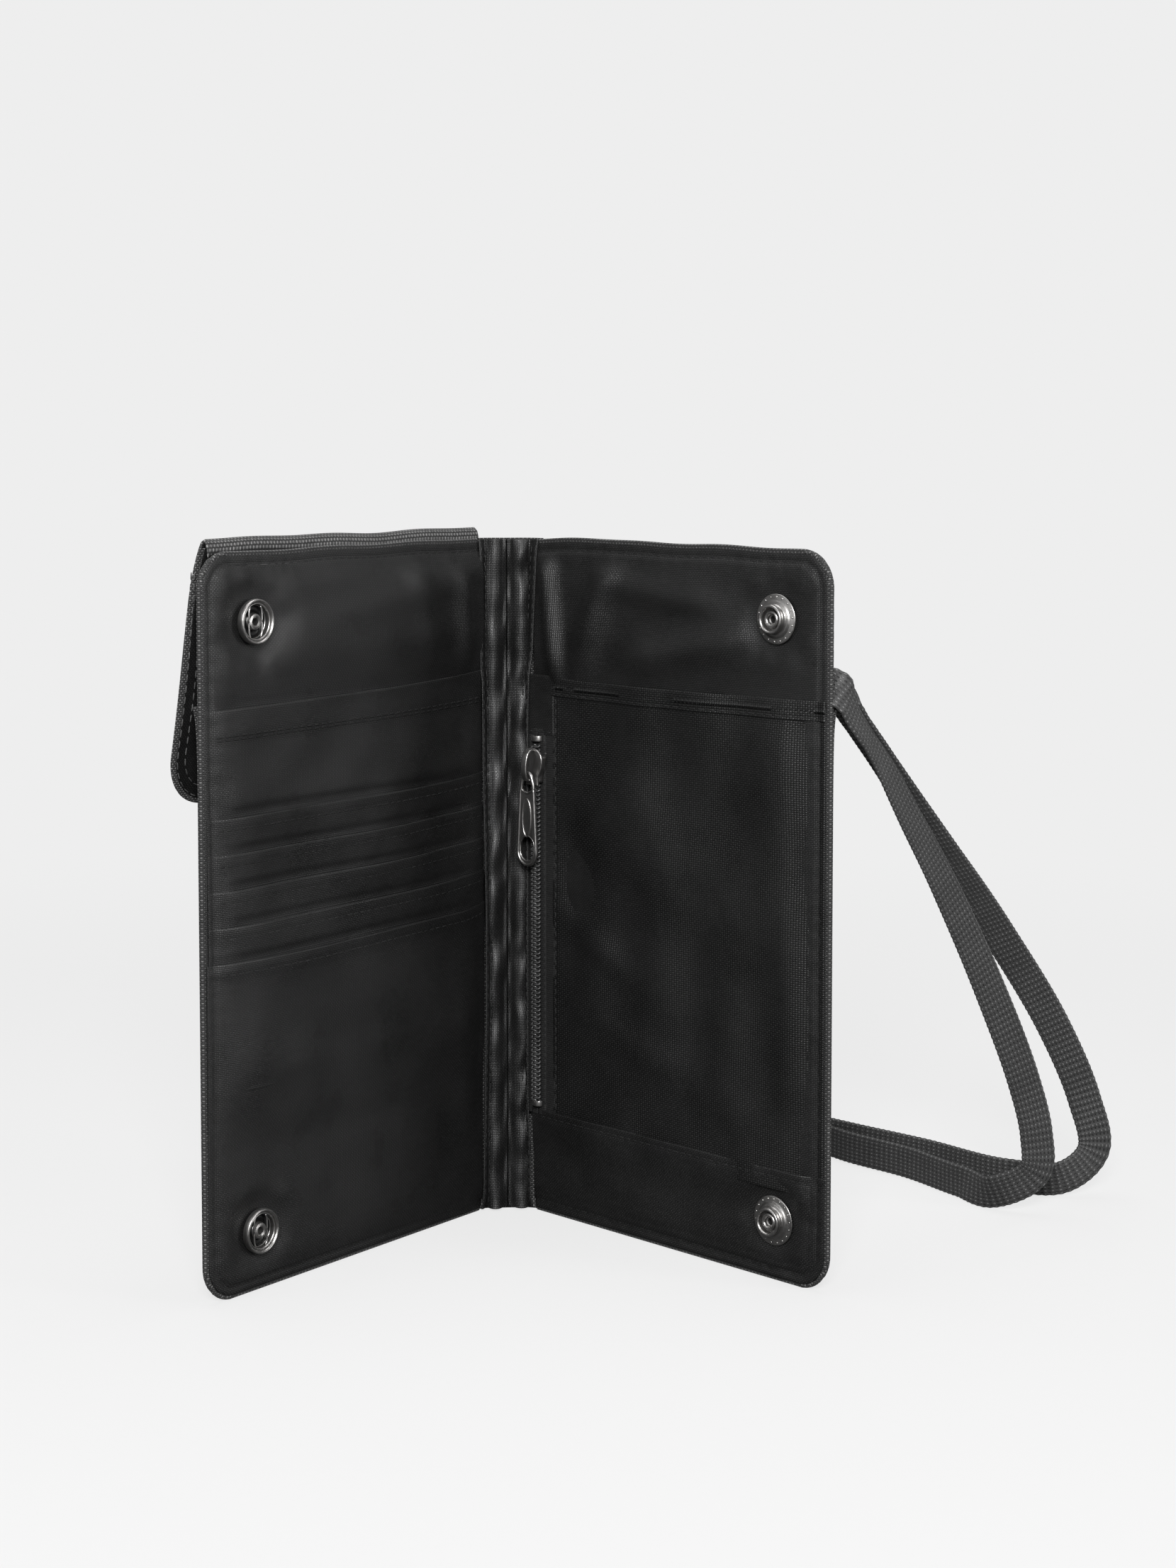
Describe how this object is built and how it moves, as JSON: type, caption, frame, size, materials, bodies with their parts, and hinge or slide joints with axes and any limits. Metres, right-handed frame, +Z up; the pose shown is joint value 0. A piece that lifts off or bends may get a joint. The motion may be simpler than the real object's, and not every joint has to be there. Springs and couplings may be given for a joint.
{
  "type": "passport holder wallet",
  "caption": "Open bifold passport and card wallet of black nylon with card slots, zipped mesh pocket, snap closures, outside flap pocket and a long neck strap.",
  "frame": {"origin": "centre of the wallet's footprint (without the free strap) on the surface that its lower edges stand on", "axes": "+Z up along the spine; -Y towards the open front edges; +X towards the cover with the zip and the strap"},
  "size_m": [0.2756, 0.1775, 0.201],
  "materials": {
    "outer_fabric": "black plain-weave nylon, slightly lighter at the folds",
    "lining": "black fine plain-weave nylon with a soft sheen",
    "mesh_fabric": "black coarse ballistic weave with a glint on each thread",
    "webbing": "black ribbed flat webbing",
    "board": "hidden stiffening board",
    "zip_tape": "black knitted zip tape",
    "zip_coil": "black nylon teeth",
    "hook_and_loop": "black hook-and-loop tape",
    "gunmetal": "dark nickel-plated metal"
  },
  "bodies": {
    "right_cover": {"right_shell": "outer_fabric", "right_board": "board", "right_lining": "lining", "outer_panel": "outer_fabric", "zip_pocket_back": "lining", "mesh_panel": "mesh_fabric", "mesh_top_hem": "mesh_fabric", "zip_end_tab": "lining", "bottom_band": "lining", "zip_tape_inner": "zip_tape", "zip_tape_outer": "zip_tape", "zip_teeth_inner": "zip_coil", "zip_teeth_outer": "zip_coil", "zip_top_stop": "gunmetal", "zip_bottom_stop": "gunmetal", "upper_stud": "gunmetal", "upper_stud_post": "gunmetal", "lower_stud": "gunmetal", "lower_stud_post": "gunmetal", "strap_end_a": "webbing", "strap_end_b": "webbing", "strap_strand_a": "webbing", "strap_strand_b": "webbing", "strap_coil": "webbing"},
    "spine": {"spine_shell": "outer_fabric", "spine_lining": "lining"},
    "left_cover": {"left_shell": "outer_fabric", "left_board": "board", "left_lining": "lining", "note_pocket": "lining", "card_slot_1": "lining", "card_slot_2": "lining", "card_slot_3": "lining", "card_slot_4": "lining", "card_slot_5": "lining", "outer_pocket": "outer_fabric", "loop_patch": "hook_and_loop", "upper_socket": "gunmetal", "upper_socket_post": "gunmetal", "upper_socket_spring": "gunmetal", "lower_socket": "gunmetal", "lower_socket_post": "gunmetal", "lower_socket_spring": "gunmetal"},
    "flap": {"flap_shell": "outer_fabric", "flap_lining": "lining", "hook_patch": "hook_and_loop"},
    "zip_slider": {"slider_body": "gunmetal", "slider_back_plate": "gunmetal", "slider_crown": "gunmetal"},
    "zip_pull": {"pull_tab": "gunmetal"}
  },
  "joints": [
    {"name": "fold_right", "type": "hinge", "parent": "right_cover", "child": "spine", "pos_m": [0.0116, 0.04046, 0.1], "axis": [0, 0, 1], "range_deg": [-48.8, 43.1]},
    {"name": "fold_left", "type": "hinge", "parent": "spine", "child": "left_cover", "pos_m": [-0.0034, 0.04046, 0.1], "axis": [0, 0, 1], "range_deg": [-48.8, 43.1]},
    {"name": "flap_fold", "type": "hinge", "parent": "left_cover", "child": "flap", "pos_m": [-0.04356, -0.00147, 0.2006], "axis": [0.6587, 0.7524, 0], "range_deg": [-8, 165]},
    {"name": "zip_travel", "type": "slide", "parent": "right_cover", "child": "zip_slider", "axis": [0, 0, -1], "range_m": [-0.001, 0.093]},
    {"name": "pull_swing", "type": "hinge", "parent": "zip_slider", "child": "zip_pull", "pos_m": [0.00975, 0.03126, 0.13135], "axis": [-0.7524, -0.6587, 0], "range_deg": [-0.5, 11]}
  ],
  "couplings": [
    {"joint": "fold_left", "follows": "fold_right", "ratio": 1}
  ]
}
